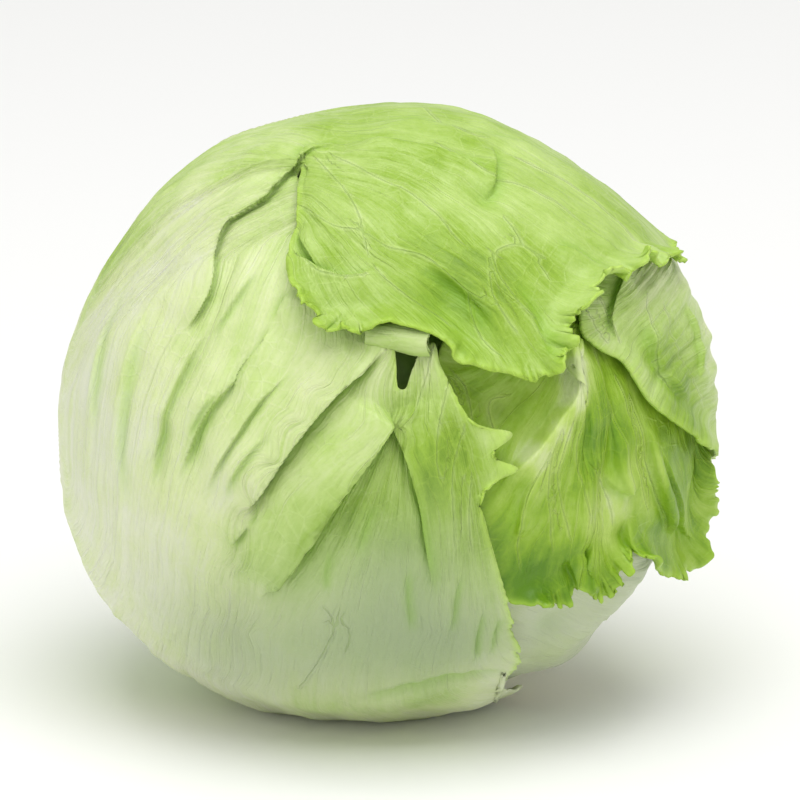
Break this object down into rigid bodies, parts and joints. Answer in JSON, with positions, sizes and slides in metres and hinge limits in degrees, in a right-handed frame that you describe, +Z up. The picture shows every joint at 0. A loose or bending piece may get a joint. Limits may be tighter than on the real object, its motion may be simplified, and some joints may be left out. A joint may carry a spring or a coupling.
{
  "type": "iceberg lettuce head",
  "caption": "Trimmed round head of crisp wrapped lettuce leaves with a folded crown leaf, a frilled side leaf and a short cut stem.",
  "frame": {"origin": "on the table, in the middle of the flat spot that the head rests on, below the head's centre", "axes": "+Z up from the table, -Y towards the side seen in the picture, the cut stem low towards +X"},
  "size_m": [0.1599, 0.1525, 0.1466],
  "materials": {
    "stem": "moist cut stem, pale with a rusty rim",
    "heart": "packed inner leaves, pale yellow green",
    "outer_leaf": "waxy crisp leaf, pale at the rib and green at its margin",
    "shoulder_leaf": "waxy crisp leaf, pale yellow green",
    "right_leaf": "waxy crisp leaf, dark green with a frilled margin",
    "back_leaf": "waxy crisp leaf with a thick pale rib",
    "base_leaf": "thick greyish white foot of a leaf"
  },
  "bodies": {
    "root": {"stem": "stem", "heart": "heart", "outer_leaf": "outer_leaf", "shoulder_leaf": "shoulder_leaf", "right_leaf": "right_leaf", "back_leaf": "back_leaf", "base_leaf": "base_leaf"}
  },
  "joints": []
}
